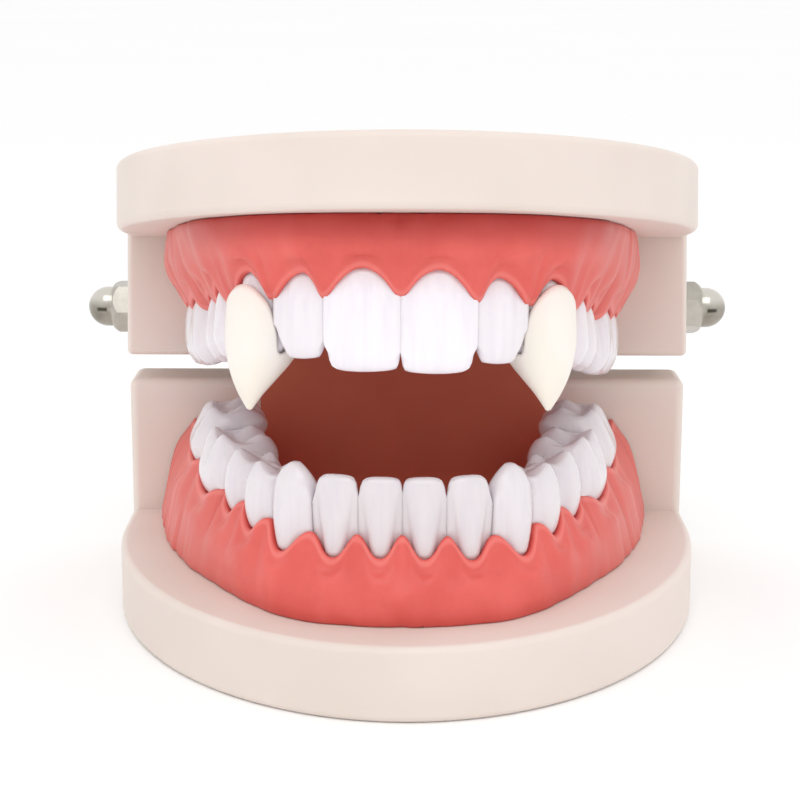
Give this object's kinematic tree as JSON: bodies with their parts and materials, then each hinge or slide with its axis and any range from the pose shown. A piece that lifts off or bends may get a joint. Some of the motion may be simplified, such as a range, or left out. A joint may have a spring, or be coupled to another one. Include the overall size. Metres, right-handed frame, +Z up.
{
  "type": "vampire fang pair on hinged dental display model",
  "caption": "Ivory vampire fang caps on the upper canines of an open, life-size hinged dental display model with cream bases, coral gums and white teeth.",
  "frame": {"origin": "middle of the underside of the lower base, on the surface it stands on", "axes": "+X to the viewer's right along the hinge, +Y away from the viewer towards the hinge blocks, +Z up"},
  "size_m": [0.0968, 0.0834, 0.0718],
  "materials": {
    "cream_plastic": "satin moulded plastic",
    "gum_pink": "soft gloss",
    "tooth_white": "polished",
    "fang_ivory": "polished",
    "lining_brown": "matte",
    "nickel": "polished nickel plate"
  },
  "bodies": {
    "lower_jaw": {"lower_base": "cream_plastic", "mouth_lining": "lining_brown", "lower_gum": "gum_pink", "lower_central_incisor_left": "tooth_white", "lower_central_incisor_right": "tooth_white", "lower_lateral_incisor_left": "tooth_white", "lower_lateral_incisor_right": "tooth_white", "lower_canine_left": "tooth_white", "lower_canine_right": "tooth_white", "lower_first_premolar_left": "tooth_white", "lower_first_premolar_right": "tooth_white", "lower_second_premolar_left": "tooth_white", "lower_second_premolar_right": "tooth_white", "lower_first_molar_left": "tooth_white", "lower_first_molar_right": "tooth_white", "lower_second_molar_left": "tooth_white", "lower_second_molar_right": "tooth_white"},
    "upper_jaw": {"upper_base": "cream_plastic", "upper_gum": "gum_pink", "upper_central_incisor_left": "tooth_white", "upper_central_incisor_right": "tooth_white", "upper_lateral_incisor_left": "tooth_white", "upper_lateral_incisor_right": "tooth_white", "upper_canine_left": "tooth_white", "upper_canine_right": "tooth_white", "upper_first_premolar_left": "tooth_white", "upper_first_premolar_right": "tooth_white", "upper_second_premolar_left": "tooth_white", "upper_second_premolar_right": "tooth_white", "upper_first_molar_left": "tooth_white", "upper_first_molar_right": "tooth_white", "upper_second_molar_left": "tooth_white", "upper_second_molar_right": "tooth_white", "fang_left": "fang_ivory", "fang_right": "fang_ivory", "hinge_rod": "nickel", "dome_nut_left": "nickel", "dome_nut_right": "nickel"}
  },
  "joints": [
    {"name": "jaw_hinge", "type": "hinge", "parent": "lower_jaw", "child": "upper_jaw", "pos_m": [0, 0.031, 0.0393], "axis": [1, 0, 0], "range_deg": [-40, 12]}
  ]
}
